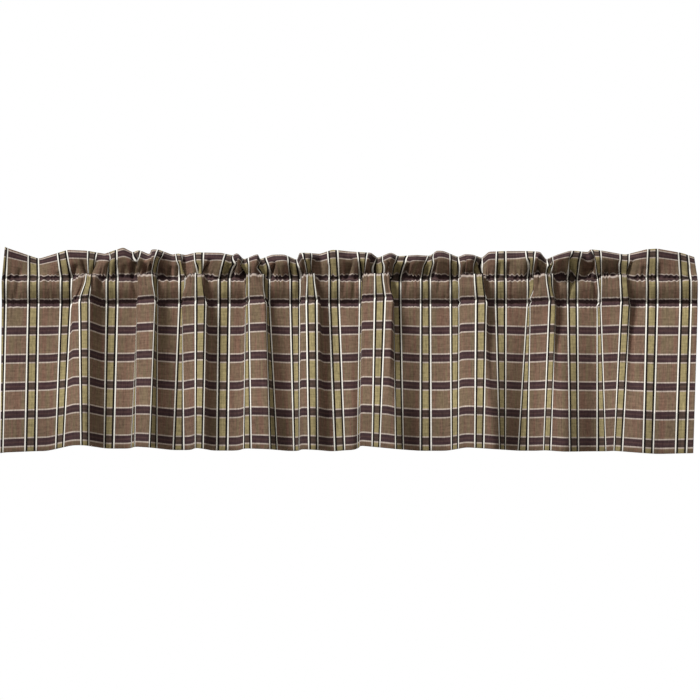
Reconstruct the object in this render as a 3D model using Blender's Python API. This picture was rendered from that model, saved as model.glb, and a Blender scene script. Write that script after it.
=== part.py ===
"""Window valance: one panel of plaid cotton with a rod pocket below a stand-up ruffle.

The top of the panel is turned to the back and sewn down along two lines. Between the lines
it makes the pocket for a rod, above them it stands up double as a ruffle, and below them it
hangs as the skirt. Pushed together along the rod, the cloth gathers into nine tucks, which
open out into soft folds towards the hem.

Metres, +Z up, +X to the right, and the front faces -Y. The origin is in the middle of the
rod pocket, where the rod's centre line runs along X.
"""

from collections import namedtuple

import bmesh
import bpy
import numpy as np

MM = 0.001

# The cut cloth
CLOTH_WIDTH = 1829 * MM
SHEET = 1.4 * MM
DOUBLE_SHEET = 2.6 * MM

# The hanging shape
POCKET_HEIGHT = 48 * MM
POCKET_FRONT_BOW = 10 * MM
POCKET_BACK = 20 * MM
SEAM_LIP = 3 * MM
SKIRT_DROP = 286 * MM
UPPER_TUCK_SHARE = 0.45
LEFT_OUT = 0.75
RIGHT_OUT = 1.2
FOLDS_OPEN = 0.6
SWELL_WIDEST = 1.4

# Places across of the two side edges
LEFT_AT_SEAM = -661 * MM
RIGHT_AT_SEAM = 660 * MM

# How softly the cloth bends at the corners of its folds
TUCK_ROUNDING = 9 * MM
HEM_ROUNDING = 15 * MM
RUFFLE_ROUNDING = 9 * MM

# The mesh. The pocket's rows stand at these shares of the way up between its stitch lines,
# and the skirt's rows stand closer together near the lower stitch line.
COLUMNS = 182
SKIRT_ROWS = 4
ROWS_CLOSER = 1.35
POCKET_ROWS = (0.2, 0.5, 0.8)
RUFFLE_ROWS = 4

# One row for each fold of a free edge, in millimetres: its crest runs from one place in the
# cloth to another, and a valley follows it. Each of the three has its place across, how far
# back it stands, and its rise.
Fold = namedtuple(
    "Fold",
    "from_cloth from_across from_back from_rise to_cloth to_across to_back to_rise"
    " valley_cloth valley_across valley_back valley_rise",
)

# The ruffle's top edge. It rises from the upper stitch line, and below the edge each crest
# and valley swells forward by its own amount.
RuffleFold = namedtuple("RuffleFold", Fold._fields + ("crest_swell", "valley_swell"))
RUFFLE_END = (655, 18, 44)
RUFFLES = (
    RuffleFold(0, -656, 4, 61, 11, -649, 4, 58, 74, -592, 24, 42, 4, 6),
    RuffleFold(140, -537, 2, 55, 178, -501, 4, 54, 220, -467, 26, 52, 8, 24),
    RuffleFold(251, -457, -2, 50, 281, -431, 2, 60, 312, -413, 18, 53, 10, 22),
    RuffleFold(326, -403, 4, 55, 329, -400, 4, 55, 346, -382, 14, 49, 26, 24),
    RuffleFold(363, -378, -6, 55, 376, -364, -2, 55, 426, -338, 30, 51, 26, 18),
    RuffleFold(450, -327, 12, 50, 454, -323, 12, 49, 477, -313, 28, 50, 12, 10),
    RuffleFold(511, -292, 6, 51, 559, -245, 0, 49, 586, -223, 16, 47, 10, 24),
    RuffleFold(609, -217, -6, 47, 613, -213, -6, 47, 644, -202, 26, 41, 30, 30),
    RuffleFold(673, -178, 4, 47, 677, -175, 2, 47, 705, -171, 30, 42, 26, 16),
    RuffleFold(734, -148, 8, 47, 755, -125, 6, 47, 783, -101, 26, 40, 20, 24),
    RuffleFold(823, -96, -12, 47, 837, -80, -10, 47, 873, -57, 16, 50, 28, 10),
    RuffleFold(902, -34, 0, 55, 919, -17, 2, 54, 932, -6, 10, 54, 10, 12),
    RuffleFold(953, 11, -4, 50, 984, 40, -12, 47, 1027, 53, 26, 44, 24, 16),
    RuffleFold(1064, 75, -6, 48, 1069, 80, -6, 48, 1089, 92, 14, 45, 30, 24),
    RuffleFold(1123, 127, 0, 45, 1136, 140, 6, 45, 1156, 153, 24, 48, 22, 22),
    RuffleFold(1185, 165, -2, 53, 1199, 178, 2, 53, 1235, 206, 18, 44, 24, 24),
    RuffleFold(1255, 218, -4, 46, 1267, 233, -4, 45, 1299, 251, 26, 44, 30, 14),
    RuffleFold(1326, 264, 4, 52, 1362, 294, 4, 53, 1387, 317, 14, 55, 8, 14),
    RuffleFold(1413, 338, -2, 52, 1439, 361, -12, 49, 1468, 373, 20, 40, 26, 30),
    RuffleFold(1510, 393, -12, 43, 1533, 419, -8, 52, 1572, 453, 24, 55, 28, 18),
    RuffleFold(1601, 457, -10, 54, 1627, 480, -6, 52, 1678, 524, 20, 49, 24, 20),
    RuffleFold(1726, 562, -2, 55, 1751, 584, 0, 57, 1803, 632, 14, 51, 4, 3),
)

# The nine tucks in the pocket, in millimetres, one row each: the cloth and the place across
# of the left and right shoulders at the lower stitch line, the cloth taken up by each side
# and how far that side runs out, how far the tuck stands out and up, and the places across
# of its shoulders at the upper stitch line.
Tuck = namedtuple(
    "Tuck",
    "left_cloth left right_cloth right side_left run_left side_right run_right"
    " out lift top_left top_right",
)
TUCKS = (
    Tuck(166, -527, 203, -493, 27, 1, 34, 22, 27, 4, -506, -488),
    Tuck(340, -404, 375, -368, 36, 0, 23, 3, 29, 2, -404, -376),
    Tuck(478, -319, 526, -271, 32, -1, 22, 1, 27, 0, -309, -279),
    Tuck(652, -194, 693, -160, 36, 8, 22, 4, 28, 2, -193, -167),
    Tuck(814, -95, 854, -57, 30, -1, 19, 1, 24, 2, -88, -66),
    Tuck(996, 23, 1057, 82, 36, 1, 34, 1, 35, 5, 30, 72),
    Tuck(1249, 209, 1300, 260, 16, 2, 27, 1, 23, 2, 211, 253),
    Tuck(1434, 343, 1486, 390, 24, 4, 27, 2, 25, 0, 347, 379),
    Tuck(1621, 474, 1685, 531, 20, 4, 17, 4, 18, 0, 476, 527),
)

# The hem's edge, where the skirt's folds hang free. It rises from the skirt's full drop. After
# each valley the cloth lies level for some way, then stands up into the next fold.
HemFold = namedtuple("HemFold", Fold._fields + ("level",))
HEM_END = (648, -36, -8)
HEM_FOLDS = (
    HemFold(0, -663, 6, -1, 9, -658, 0, -1, 79, -588, -5, 1, 14),
    HemFold(160, -525, -24, 9, 190, -501, -42, 6, 253, -461, 3, 7, 42),
    HemFold(335, -406, -26, 6, 376, -378, -46, 1, 439, -336, 2, 4, 34),
    HemFold(509, -292, -25, 4, 526, -275, -35, 0, 562, -259, -4, 2, 46),
    HemFold(639, -199, -24, 3, 697, -151, -44, -2, 751, -117, 0, 2, 18),
    HemFold(812, -91, -32, 0, 840, -66, -44, -3, 884, -36, -8, 0, 4),
    HemFold(912, -9, -14, 1, 944, 9, -20, 1, 954, 14, -10, 5, 1),
    HemFold(987, 19, -26, 8, 1088, 88, -52, -3, 1148, 131, -2, 2, 52),
    HemFold(1259, 220, -24, 5, 1324, 272, -46, -2, 1412, 320, 10, 4, 34),
    HemFold(1482, 370, -20, 0, 1523, 404, -40, -6, 1598, 464, 4, 2, 20),
    HemFold(1669, 499, -14, 0, 1727, 550, -38, -8, 1760, 580, -32, -9, 2),
)

# A corner of a line along the cloth, in metres
Corner = namedtuple("Corner", "cloth across back height")

# The columns' places along the flat cloth
CLOTH = np.linspace(0.0, CLOTH_WIDTH, COLUMNS)


def tuck_corners(left, right, share, lifted):
    """Four corners for each tuck, which stands out by a share of its full size."""
    corners = [Corner(0.0, LEFT_AT_SEAM, 0.0, 0.0)]
    for row in TUCKS:
        left_foot = (row.left_cloth - row.side_left) * MM
        right_foot = (row.right_cloth + row.side_right) * MM
        out = -row.out * share * MM
        lift = row.lift * lifted * MM
        corners += [
            Corner(left_foot, (row.left - row.run_left) * MM, 0.0, 0.0),
            Corner(row.left_cloth * MM, getattr(row, left) * MM, out * LEFT_OUT, lift),
            Corner(row.right_cloth * MM, getattr(row, right) * MM, out * RIGHT_OUT, lift),
            Corner(right_foot, (row.right + row.run_right) * MM, 0.0, 0.0),
        ]
    corners.append(Corner(CLOTH_WIDTH, RIGHT_AT_SEAM, 0.0, 0.0))
    return corners


def edge_corners(rows, end):
    """The corners of each fold of a free edge, then the right side edge."""
    corners = []
    for row in rows:
        sizes = [size * MM for size in row]
        corners += [Corner(*sizes[0:4]), Corner(*sizes[4:8]), Corner(*sizes[8:12])]
        level = getattr(row, "level", 0) * MM
        if level:
            cloth, across, back, height = corners[-1]
            corners.append(Corner(cloth + level, across + level, back, height))
    corners.append(Corner(CLOTH_WIDTH, *(size * MM for size in end)))
    return corners


def rounded_line(corners, rounding):
    """Points (across, back, height) at every column, with the line's corners rounded off."""
    table = np.array(corners)
    start = table[0] - (table[1] - table[0])
    end = table[-1] + (table[-1] - table[-2])
    table = np.vstack((start, table, end))
    shifts = np.linspace(-rounding, rounding, 9)
    weights = 1.0 - np.abs(shifts) / (1.2 * rounding)
    weights /= weights.sum()
    line = np.zeros((COLUMNS, 3))
    for shift, weight in zip(shifts, weights):
        for axis in range(3):
            line[:, axis] += weight * np.interp(CLOTH + shift, table[:, 0], table[:, axis + 1])
    return line


def key_lines():
    """The cloth's course at the hem, at both stitch lines and at the top edge."""
    at_upper = tuck_corners("top_left", "top_right", UPPER_TUCK_SHARE, 0.0)
    hem = rounded_line(edge_corners(HEM_FOLDS, HEM_END), HEM_ROUNDING)
    lower = rounded_line(tuck_corners("left", "right", 1.0, 1.0), TUCK_ROUNDING)
    upper = rounded_line(at_upper, TUCK_ROUNDING)
    top = rounded_line(edge_corners(RUFFLES, RUFFLE_END), RUFFLE_ROUNDING)
    lower[:, 2] -= POCKET_HEIGHT / 2
    upper[:, 2] += POCKET_HEIGHT / 2
    hem[:, 2] -= POCKET_HEIGHT / 2 + SKIRT_DROP
    top[:, 2] += POCKET_HEIGHT / 2
    return hem, lower, upper, top


def skirt_rows(hem, lower):
    """Rows from the hem up to the lower stitch line, closer together near it.

    The tucks open into the hem's folds soon below the stitch line.
    """
    rows = []
    for step in range(SKIRT_ROWS + 1):
        drop = (1.0 - step / SKIRT_ROWS) ** ROWS_CLOSER
        row = lower + (hem - lower) * drop
        row[:, 1] = lower[:, 1] + (hem[:, 1] - lower[:, 1]) * drop**FOLDS_OPEN
        rows.append(row)
    return rows


def pocket_rows(lower, upper):
    """Rows of the pocket's front wall and of its back wall, between the stitch lines.

    The back wall hangs level behind the rod, also where a tuck lifts the lower stitch line.
    """
    front = []
    back = []
    for share in POCKET_ROWS:
        from_middle = 2.0 * share - 1.0
        row = lower + (upper - lower) * share
        front_row = row.copy()
        front_row[:, 1] -= POCKET_FRONT_BOW * (1.0 - from_middle**2)
        back_row = row.copy()
        back_row[:, 1] += (POCKET_BACK - row[:, 1]) * (1.0 - from_middle**6)
        back_row[:, 2] = POCKET_HEIGHT * from_middle / 2
        front.append(front_row)
        back.append(back_row)
    return front, back


def swell_sizes():
    """How far the ruffle swells forward at every column."""
    marks = []
    for row in RUFFLES:
        marks += [(row.from_cloth, row.crest_swell), (row.to_cloth, row.crest_swell)]
        marks.append((row.valley_cloth, row.valley_swell))
    marks = np.array(marks) * MM
    return np.interp(CLOTH, marks[:, 0], marks[:, 1])


def ruffle_rows(upper, top):
    """Rows from the upper stitch line to the top edge, which swell forward between them."""
    sizes = swell_sizes()
    rows = []
    for step in range(1, RUFFLE_ROWS + 1):
        share = step / RUFFLE_ROWS
        row = upper + (top - upper) * share
        row[:, 1] = upper[:, 1] + (top[:, 1] - upper[:, 1]) * np.sin(share * np.pi / 2)
        row[:, 1] -= sizes * np.sin(np.pi * share**SWELL_WIDEST)
        rows.append(row)
    return rows


def outward(rows):
    """Unit directions that point out of the cloth towards the front."""
    grid = np.array(rows)
    up = np.gradient(grid, axis=0)
    along = np.gradient(grid, axis=1)
    out = np.cross(along, up)
    return out / np.linalg.norm(out, axis=2, keepdims=True)


def valance_rings():
    """The outer ring and the pocket's inner ring, each a list of rows of points."""
    hem, lower, upper, top = key_lines()
    skirt = skirt_rows(hem, lower)
    front_wall, back_wall = pocket_rows(lower, upper)
    ruffle = ruffle_rows(upper, top)
    halves = [SHEET / 2] * len(skirt) + [SHEET / 2] * len(front_wall)
    halves += [DOUBLE_SHEET / 2] * (len(ruffle) + 1)
    halves = np.array(halves)[:, None, None]

    front_rows = np.array(skirt + front_wall + [upper] + ruffle)
    back_rows = np.array(skirt + back_wall + [upper] + ruffle)
    front_side = front_rows + outward(front_rows) * halves
    back_side = back_rows - outward(back_rows) * halves
    front_inside = front_rows - outward(front_rows) * halves
    back_inside = back_rows + outward(back_rows) * halves

    first = len(skirt)
    last = first + len(front_wall)
    lip_low = lower + np.array((0.0, 0.0, SEAM_LIP))
    lip_high = upper - np.array((0.0, 0.0, SEAM_LIP))
    outer = list(front_side) + list(back_side[::-1])
    inner = [lip_low] + list(front_inside[first:last]) + [lip_high]
    inner += list(back_inside[first:last][::-1])
    return outer, inner, first, last


def add_rows(mesh, rows):
    """Vertices for each row of points."""
    return [[mesh.verts.new(point) for point in row] for row in rows]


def join_ring(mesh, rows, turned):
    """Faces around a closed ring of rows, all along the cloth."""
    for low, high in zip(rows, rows[1:] + rows[:1]):
        for column in range(COLUMNS - 1):
            corners = [low[column], low[column + 1], high[column + 1], high[column]]
            mesh.faces.new(corners[::-1] if turned else corners)


def close_side(mesh, outer, inner, first, last, column, turned):
    """The cut edge of the cloth at one side, open where the rod goes in."""

    def face(*corners):
        corners = [row[column] for row in corners]
        mesh.faces.new(corners[::-1] if turned else corners)

    count = len(outer) // 2
    front = outer[:count]
    back = outer[count:][::-1]
    walls = last - first
    low, high = inner[0], inner[walls + 1]
    in_front = [low] + inner[1 : walls + 1] + [high]
    in_back = [low] + inner[walls + 2 :][::-1] + [high]
    for row in list(range(first - 1)) + list(range(last, count - 1)):
        face(front[row], front[row + 1], back[row + 1], back[row])
    face(front[first - 1], low, back[first - 1])
    face(front[last], back[last], high)
    for step in range(walls + 1):
        row = first - 1 + step
        face(front[row], front[row + 1], in_front[step + 1], in_front[step])
        face(in_back[step], in_back[step + 1], back[row + 1], back[row])


def cotton():
    """Plain woven cotton in the plaid's brown."""
    material = bpy.data.materials.new("plaid cotton")
    material.use_nodes = True
    shader = material.node_tree.nodes["Principled BSDF"]
    shader.inputs["Base Color"].default_value = (0.19, 0.13, 0.09, 1.0)
    shader.inputs["Roughness"].default_value = 0.9
    shader.inputs["Metallic"].default_value = 0.0
    return material


def add_valance():
    """The whole panel as one closed solid, with the pocket open at both ends."""
    outer_points, inner_points, first, last = valance_rings()
    mesh = bmesh.new()
    outer = add_rows(mesh, outer_points)
    inner = add_rows(mesh, inner_points)
    join_ring(mesh, outer, False)
    join_ring(mesh, inner, True)
    close_side(mesh, outer, inner, first, last, 0, False)
    close_side(mesh, outer, inner, first, last, COLUMNS - 1, True)
    bmesh.ops.recalc_face_normals(mesh, faces=mesh.faces)
    data = bpy.data.meshes.new("valance_cloth")
    mesh.to_mesh(data)
    mesh.free()
    data.shade_smooth()
    data.materials.append(cotton())
    valance = bpy.data.objects.new("valance_cloth", data)
    bpy.context.scene.collection.objects.link(valance)
    return valance


def main():
    for item in list(bpy.data.objects):
        bpy.data.objects.remove(item, do_unlink=True)
    add_valance()


main()
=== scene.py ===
import math
from collections import namedtuple

import bpy
import numpy as np
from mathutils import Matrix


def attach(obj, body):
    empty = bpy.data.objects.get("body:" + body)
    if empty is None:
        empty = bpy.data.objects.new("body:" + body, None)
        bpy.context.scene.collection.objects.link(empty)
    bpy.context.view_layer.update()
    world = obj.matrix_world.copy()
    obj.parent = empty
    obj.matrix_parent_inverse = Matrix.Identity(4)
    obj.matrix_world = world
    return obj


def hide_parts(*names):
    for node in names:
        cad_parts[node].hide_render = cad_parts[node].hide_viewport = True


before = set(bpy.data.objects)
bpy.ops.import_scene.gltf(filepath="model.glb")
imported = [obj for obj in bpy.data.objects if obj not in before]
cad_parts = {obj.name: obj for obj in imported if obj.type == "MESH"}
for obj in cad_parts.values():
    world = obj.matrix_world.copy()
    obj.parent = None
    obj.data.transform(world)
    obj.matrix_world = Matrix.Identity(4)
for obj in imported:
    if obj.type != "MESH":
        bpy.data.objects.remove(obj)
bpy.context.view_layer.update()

# Window valance in plaid cotton: a stand-up ruffle, a sewn rod pocket and a short skirt.
#
# The panel is one sheet of cloth, laid out here as a grid. Its rows run across, from the hem
# that is turned up at the back, up the front to the top edge, and down the back to below the
# pocket. Its columns stand at places along the flat cloth's width. Metres, +Z up, the front
# faces -Y, and the rod's centre line is the X axis.

MM = 0.001

# The cut cloth: its finished width, and what is turned under along its edges
CLOTH_WIDTH = 1829 * MM
SIDE_HEM = 12 * MM
HEM = 76 * MM
SKIRT_CLOTH = 286.6 * MM
POCKET_CLOTH = 53.7 * MM
RUFFLE_CLOTH = 66 * MM
BACK_POCKET_CLOTH = 60 * MM
SEAM_ALLOWANCE = 7 * MM
LAYER_GAP = 1.3 * MM
SIDE_GAP = 0.6 * MM
# and what the turn itself takes, at the hem's foot and the top edge, and at each side edge
EDGE_TURN = 0.6 * MM
SIDE_TURN = 0.5 * MM
# Places in the cloth, up from the hem's foot
UPPER_SEAM = SKIRT_CLOTH + POCKET_CLOTH
TOP_EDGE = UPPER_SEAM + RUFFLE_CLOTH

# The pocket: its front bows out, more so above its middle, and its back wall stands off the
# rod, and further back behind each tuck by a share of the tuck's depth
POCKET_HEIGHT = 48 * MM
POCKET_FRONT_BOW = 10 * MM
POCKET_TOP_HEAVY = 0.6
POCKET_BACK = 20 * MM
BACK_FULLNESS = 0.4
# What share of a tuck's depth it has at the upper stitch line, and at its left and right
# shoulders
UPPER_TUCK_SHARE = 0.45
LEFT_OUT = 0.75
RIGHT_OUT = 1.2
# The skirt, and how soon below the stitch line its folds open: 1 is evenly, less is sooner
SKIRT_DROP = 286 * MM
FOLDS_OPEN = 0.6

# Places across of the two side edges at the stitch lines
LEFT_AT_SEAM = -661 * MM
RIGHT_AT_SEAM = 660 * MM

# How softly the cloth bends at the corners of its folds. A rounded place is an average over
# some steps to either side, of which the outer ones count least.
TUCK_ROUNDING = 6 * MM
HEM_ROUNDING = 15 * MM
RUFFLE_ROUNDING = 7 * MM
ROUNDING_STEPS = 9
ROUNDING_FADE = 1.2

# The grid
COLUMNS = 920
HEM_ROWS = 9
SKIRT_ROWS = 36
POCKET_ROWS = 18
RUFFLE_ROWS = 20
BACK_RUFFLE_ROWS = 11
BACK_POCKET_ROWS = 6
# How much closer its rows stand near a stitch line, where 1 is evenly, and by what share the
# pocket's rows stand evenly
SKIRT_CROWDING = 1.35
RUFFLE_CROWDING = 1.2
BACK_CROWDING = 1.5
POCKET_EVENLY = 0.4

# One row for each fold of a free edge, in millimetres: its crest runs from one place in the
# cloth to another, and a valley follows it. Each of the three has its place across, how far
# back it stands, and its rise.
Fold = namedtuple(
    "Fold",
    "from_cloth from_across from_back from_rise to_cloth to_across to_back to_rise"
    " valley_cloth valley_across valley_back valley_rise",
)

# The ruffle's top edge. It rises from the upper stitch line, and below the edge each crest
# and valley swells forward by its own amount.
RuffleFold = namedtuple("RuffleFold", Fold._fields + ("crest_swell", "valley_swell"))
RUFFLE_END = (655, 18, 44)
RUFFLES = (
    RuffleFold(0, -656, 4, 61, 11, -649, 4, 58, 74, -592, 24, 42, 4, 6),
    RuffleFold(140, -537, 2, 55, 178, -501, 4, 54, 220, -467, 26, 52, 8, 24),
    RuffleFold(251, -457, -2, 50, 281, -431, 2, 60, 312, -413, 18, 53, 10, 22),
    RuffleFold(326, -403, 4, 55, 329, -400, 4, 55, 346, -382, 14, 49, 26, 24),
    RuffleFold(363, -378, -6, 55, 376, -364, -2, 55, 426, -338, 30, 51, 26, 18),
    RuffleFold(450, -327, 12, 50, 454, -323, 12, 49, 477, -313, 28, 50, 12, 10),
    RuffleFold(511, -292, 6, 51, 559, -245, 0, 49, 586, -223, 16, 47, 10, 24),
    RuffleFold(609, -217, -6, 47, 613, -213, -6, 47, 644, -202, 26, 41, 30, 30),
    RuffleFold(673, -178, 4, 47, 677, -175, 2, 47, 705, -171, 30, 42, 26, 16),
    RuffleFold(734, -148, 8, 47, 755, -125, 6, 47, 783, -101, 26, 40, 20, 24),
    RuffleFold(823, -96, -12, 47, 837, -80, -10, 47, 873, -57, 16, 50, 28, 10),
    RuffleFold(902, -34, 0, 55, 919, -17, 2, 54, 932, -6, 10, 54, 10, 12),
    RuffleFold(953, 11, -4, 50, 984, 40, -12, 47, 1027, 53, 26, 44, 24, 16),
    RuffleFold(1064, 75, -6, 48, 1069, 80, -6, 48, 1089, 92, 14, 45, 30, 24),
    RuffleFold(1123, 127, 0, 45, 1136, 140, 6, 45, 1156, 153, 24, 48, 22, 22),
    RuffleFold(1185, 165, -2, 53, 1199, 178, 2, 53, 1235, 206, 18, 44, 24, 24),
    RuffleFold(1255, 218, -4, 46, 1267, 233, -4, 45, 1299, 251, 26, 44, 30, 14),
    RuffleFold(1326, 264, 4, 52, 1362, 294, 4, 53, 1387, 317, 14, 55, 8, 14),
    RuffleFold(1413, 338, -2, 52, 1439, 361, -12, 49, 1468, 373, 20, 40, 26, 30),
    RuffleFold(1510, 393, -12, 43, 1533, 419, -8, 52, 1572, 453, 24, 55, 28, 18),
    RuffleFold(1601, 457, -10, 54, 1627, 480, -6, 52, 1678, 524, 20, 49, 24, 20),
    RuffleFold(1726, 562, -2, 55, 1751, 584, 0, 57, 1803, 632, 14, 51, 4, 3),
)
# Over 1, the ruffle swells widest above its middle
SWELL_WIDEST = 1.4

# The nine tucks in the pocket, in millimetres, one row each: the cloth and the place across
# of the left and right shoulders at the lower stitch line, the cloth taken up by each side
# and how far that side runs out, how far the tuck stands out and up, and the places across
# of its shoulders at the upper stitch line.
Tuck = namedtuple(
    "Tuck",
    "left_cloth left right_cloth right side_left run_left side_right run_right"
    " out lift top_left top_right",
)
TUCKS = (
    Tuck(166, -527, 203, -493, 27, 1, 34, 22, 27, 4, -506, -488),
    Tuck(340, -404, 375, -368, 36, 0, 23, 3, 29, 2, -404, -376),
    Tuck(478, -319, 526, -271, 32, -1, 22, 1, 27, 0, -309, -279),
    Tuck(652, -194, 693, -160, 36, 8, 22, 4, 28, 2, -193, -167),
    Tuck(814, -95, 854, -57, 30, -1, 19, 1, 24, 2, -88, -66),
    Tuck(996, 23, 1057, 82, 36, 1, 34, 1, 35, 5, 30, 72),
    Tuck(1249, 209, 1300, 260, 16, 2, 27, 1, 23, 2, 211, 253),
    Tuck(1434, 343, 1486, 390, 24, 4, 27, 2, 25, 0, 347, 379),
    Tuck(1621, 474, 1685, 531, 20, 4, 17, 4, 18, 0, 476, 527),
)

# The hem's edge, where the skirt's folds hang free. It rises from the skirt's full drop. After
# each valley the cloth lies level for some way, then stands up into the next fold.
HemFold = namedtuple("HemFold", Fold._fields + ("level",))
HEM_END = (648, -36, -8)
HEM_FOLDS = (
    HemFold(0, -663, 6, -1, 9, -658, 0, -1, 79, -588, -5, 1, 14),
    HemFold(160, -525, -24, 9, 190, -501, -42, 6, 253, -461, 3, 7, 42),
    HemFold(335, -406, -26, 6, 376, -378, -46, 1, 439, -336, 2, 4, 34),
    HemFold(509, -292, -25, 4, 526, -275, -35, 0, 562, -259, -4, 2, 46),
    HemFold(639, -199, -24, 3, 697, -151, -44, -2, 751, -117, 0, 2, 18),
    HemFold(812, -91, -32, 0, 840, -66, -44, -3, 884, -36, -8, 0, 4),
    HemFold(912, -9, -14, 1, 944, 9, -20, 1, 954, 14, -10, 5, 1),
    HemFold(987, 19, -26, 8, 1088, 88, -52, -3, 1148, 131, -2, 2, 52),
    HemFold(1259, 220, -24, 5, 1324, 272, -46, -2, 1412, 320, 10, 4, 34),
    HemFold(1482, 370, -20, 0, 1523, 404, -40, -6, 1598, 464, 4, 2, 20),
    HemFold(1669, 499, -14, 0, 1727, 550, -38, -8, 1760, 580, -32, -9, 2),
)

# The creases at the upper stitch line, in millimetres, one row each: the place across where
# it leaves the stitch line, how far it leans to the right, its length, depth and half width.
Crease = namedtuple("Crease", "at_seam lean length depth width")
RUFFLE_CREASES = (
    Crease(-629, 3, 18, 1.5, 5),
    Crease(-554, -2, 12, 1.5, 4),
    Crease(-529, 8, 22, 3, 5),
    Crease(-501, -8, 30, 4, 6),
    Crease(-491, 11, 34, 5, 6),
    Crease(-461, 3, 45, 4, 4),
    Crease(-449, 7, 26, 2.5, 4),
    Crease(-431, 4, 20, 1.5, 5),
    Crease(-413, 3, 40, 4.5, 5),
    Crease(-403, 1, 30, 3, 3),
    Crease(-393, 2, 26, 2.5, 4),
    Crease(-379, -2, 46, 3, 4),
    Crease(-359, 6, 34, 4, 7),
    Crease(-343, 2, 22, 2.5, 4),
    Crease(-330, 2, 30, 2.5, 3),
    Crease(-311, -4, 34, 3.5, 5),
    Crease(-295, 5, 26, 3, 4),
    Crease(-276, 10, 34, 4.5, 7),
    Crease(-238, 9, 34, 3, 5),
    Crease(-224, 4, 38, 4, 5),
    Crease(-203, 2, 34, 3, 4),
    Crease(-173, 6, 34, 3.5, 4),
    Crease(-152, 7, 38, 4.5, 6),
    Crease(-114, 5, 30, 3, 5),
    Crease(-95, 8, 38, 3.5, 5),
    Crease(-67, 7, 34, 4, 7),
    Crease(-42, 0, 24, 1.5, 4),
    Crease(-6, 6, 36, 3.5, 7),
    Crease(19, 2, 24, 2, 3),
    Crease(45, 1, 42, 4, 4),
    Crease(66, 2, 30, 4, 6),
    Crease(88, 1, 26, 3, 4),
    Crease(104, 9, 34, 4, 6),
    Crease(140, 8, 30, 3, 5),
    Crease(157, 6, 34, 3, 4),
    Crease(193, 4, 28, 2.5, 4),
    Crease(214, 2, 42, 3.5, 5),
    Crease(239, 11, 36, 4, 7),
    Crease(282, 3, 26, 2.5, 4),
    Crease(300, 2, 26, 2.5, 5),
    Crease(336, 2, 30, 2.5, 4),
    Crease(357, 4, 34, 3.5, 5),
    Crease(381, -4, 36, 4, 4),
    Crease(402, 2, 28, 2, 6),
    Crease(421, 2, 38, 3.5, 4),
    Crease(446, 4, 34, 4, 4),
    Crease(457, -1, 40, 4, 4),
    Crease(486, 4, 24, 2, 6),
    Crease(508, 2, 30, 2.5, 6),
    Crease(529, 9, 34, 4, 6),
    Crease(560, 0, 20, 1.5, 5),
    Crease(590, 0, 24, 1.5, 5),
    Crease(645, 0, 24, 1.5, 5),
)
POCKET_CREASES = (
    Crease(-628, -5, 30, 1.5, 5),
    Crease(-529, -4, 20, 1.5, 4),
    Crease(-505, -20, 44, 3, 6),
    Crease(-489, 4, 24, 3, 5),
    Crease(-469, -4, 22, 2, 4),
    Crease(-427, -2, 20, 1.2, 5),
    Crease(-412, 8, 34, 3, 5),
    Crease(-338, 0, 18, 1, 4),
    Crease(-311, -4, 22, 2, 4),
    Crease(-281, 10, 36, 3, 5),
    Crease(-243, -2, 24, 1.5, 5),
    Crease(-174, 14, 38, 3, 5),
    Crease(-99, 2, 30, 2, 4),
    Crease(-63, 6, 28, 2.5, 4),
    Crease(-34, 2, 20, 1.2, 5),
    Crease(-9, -4, 28, 1.8, 5),
    Crease(9, -2, 34, 2.2, 4),
    Crease(68, 6, 34, 2.5, 4),
    Crease(83, -2, 34, 3, 4),
    Crease(110, -4, 28, 1.8, 5),
    Crease(171, -4, 26, 1.5, 5),
    Crease(193, -4, 24, 1.5, 4),
    Crease(256, 4, 34, 2, 4),
    Crease(311, -4, 24, 1.5, 5),
    Crease(345, -2, 30, 2.5, 4),
    Crease(360, -6, 26, 2, 3),
    Crease(376, 13, 36, 2.5, 4),
    Crease(400, -4, 22, 2, 5),
    Crease(423, -9, 38, 3, 5),
    Crease(463, 8, 40, 3.5, 5),
    Crease(493, -2, 22, 1.2, 6),
    Crease(528, 5, 34, 2.5, 4),
    Crease(596, 8, 30, 1.5, 7),
)

# How strongly the creases of these tables are pressed into the cloth, and how much wider and
# longer than there. Each starts narrow and less deep at the seam, gets full depth soon above
# or below it, widens and fades out. A nip is the narrow fold at the bottom of its trough.
RUFFLE_CREASE_FORCE = 3.3
POCKET_CREASE_FORCE = 2.6
CREASE_SPREAD = 1.25
CREASE_REACH = 1.45
CREASE_NARROW = 0.7
CREASE_WIDE = 1.3
CREASE_AT_SEAM = 0.4
CREASE_ONSET = 3.0
CREASE_FADE = 0.6
CREASE_NIP = 0.6
CREASE_NIP_WIDTH = 3.0 * MM

# The small gathers that the sewing draws up along each stitch line
Gather = namedtuple("Gather", "pitch out pull_above pull_below reach start")
UPPER_GATHERS = Gather(11.5 * MM, 3.0 * MM, 4.2 * MM, 1.0 * MM, 7 * MM, 0.6)
LOWER_GATHERS = Gather(10.5 * MM, 1.6 * MM, 1.0 * MM, 0.8 * MM, 6 * MM, 2.9)
# They are uneven. Their places drift by some radians, over some gathers, from some start,
# and their size swings over some gathers. At the level share, cloth is drawn neither way.
Drift = namedtuple("Drift", "size gathers start")
GATHER_DRIFTS = (Drift(1.8, 4.3, 0.0), Drift(1.1, 2.3, 1.0))
GATHER_SWING = 0.35
GATHER_SWING_OVER = 7.1
GATHER_LEVEL = 0.35

# The sewing: the groove that it pulls into the cloth, and its stitches
SEAM_DEPTH = 2.2 * MM
SEAM_REACH = 4 * MM
STITCH_PITCH = 2.8 * MM
STITCH_LENGTH = 2.2 * MM
STITCH_RINGS = 4
THREAD = 0.4 * MM
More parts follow.
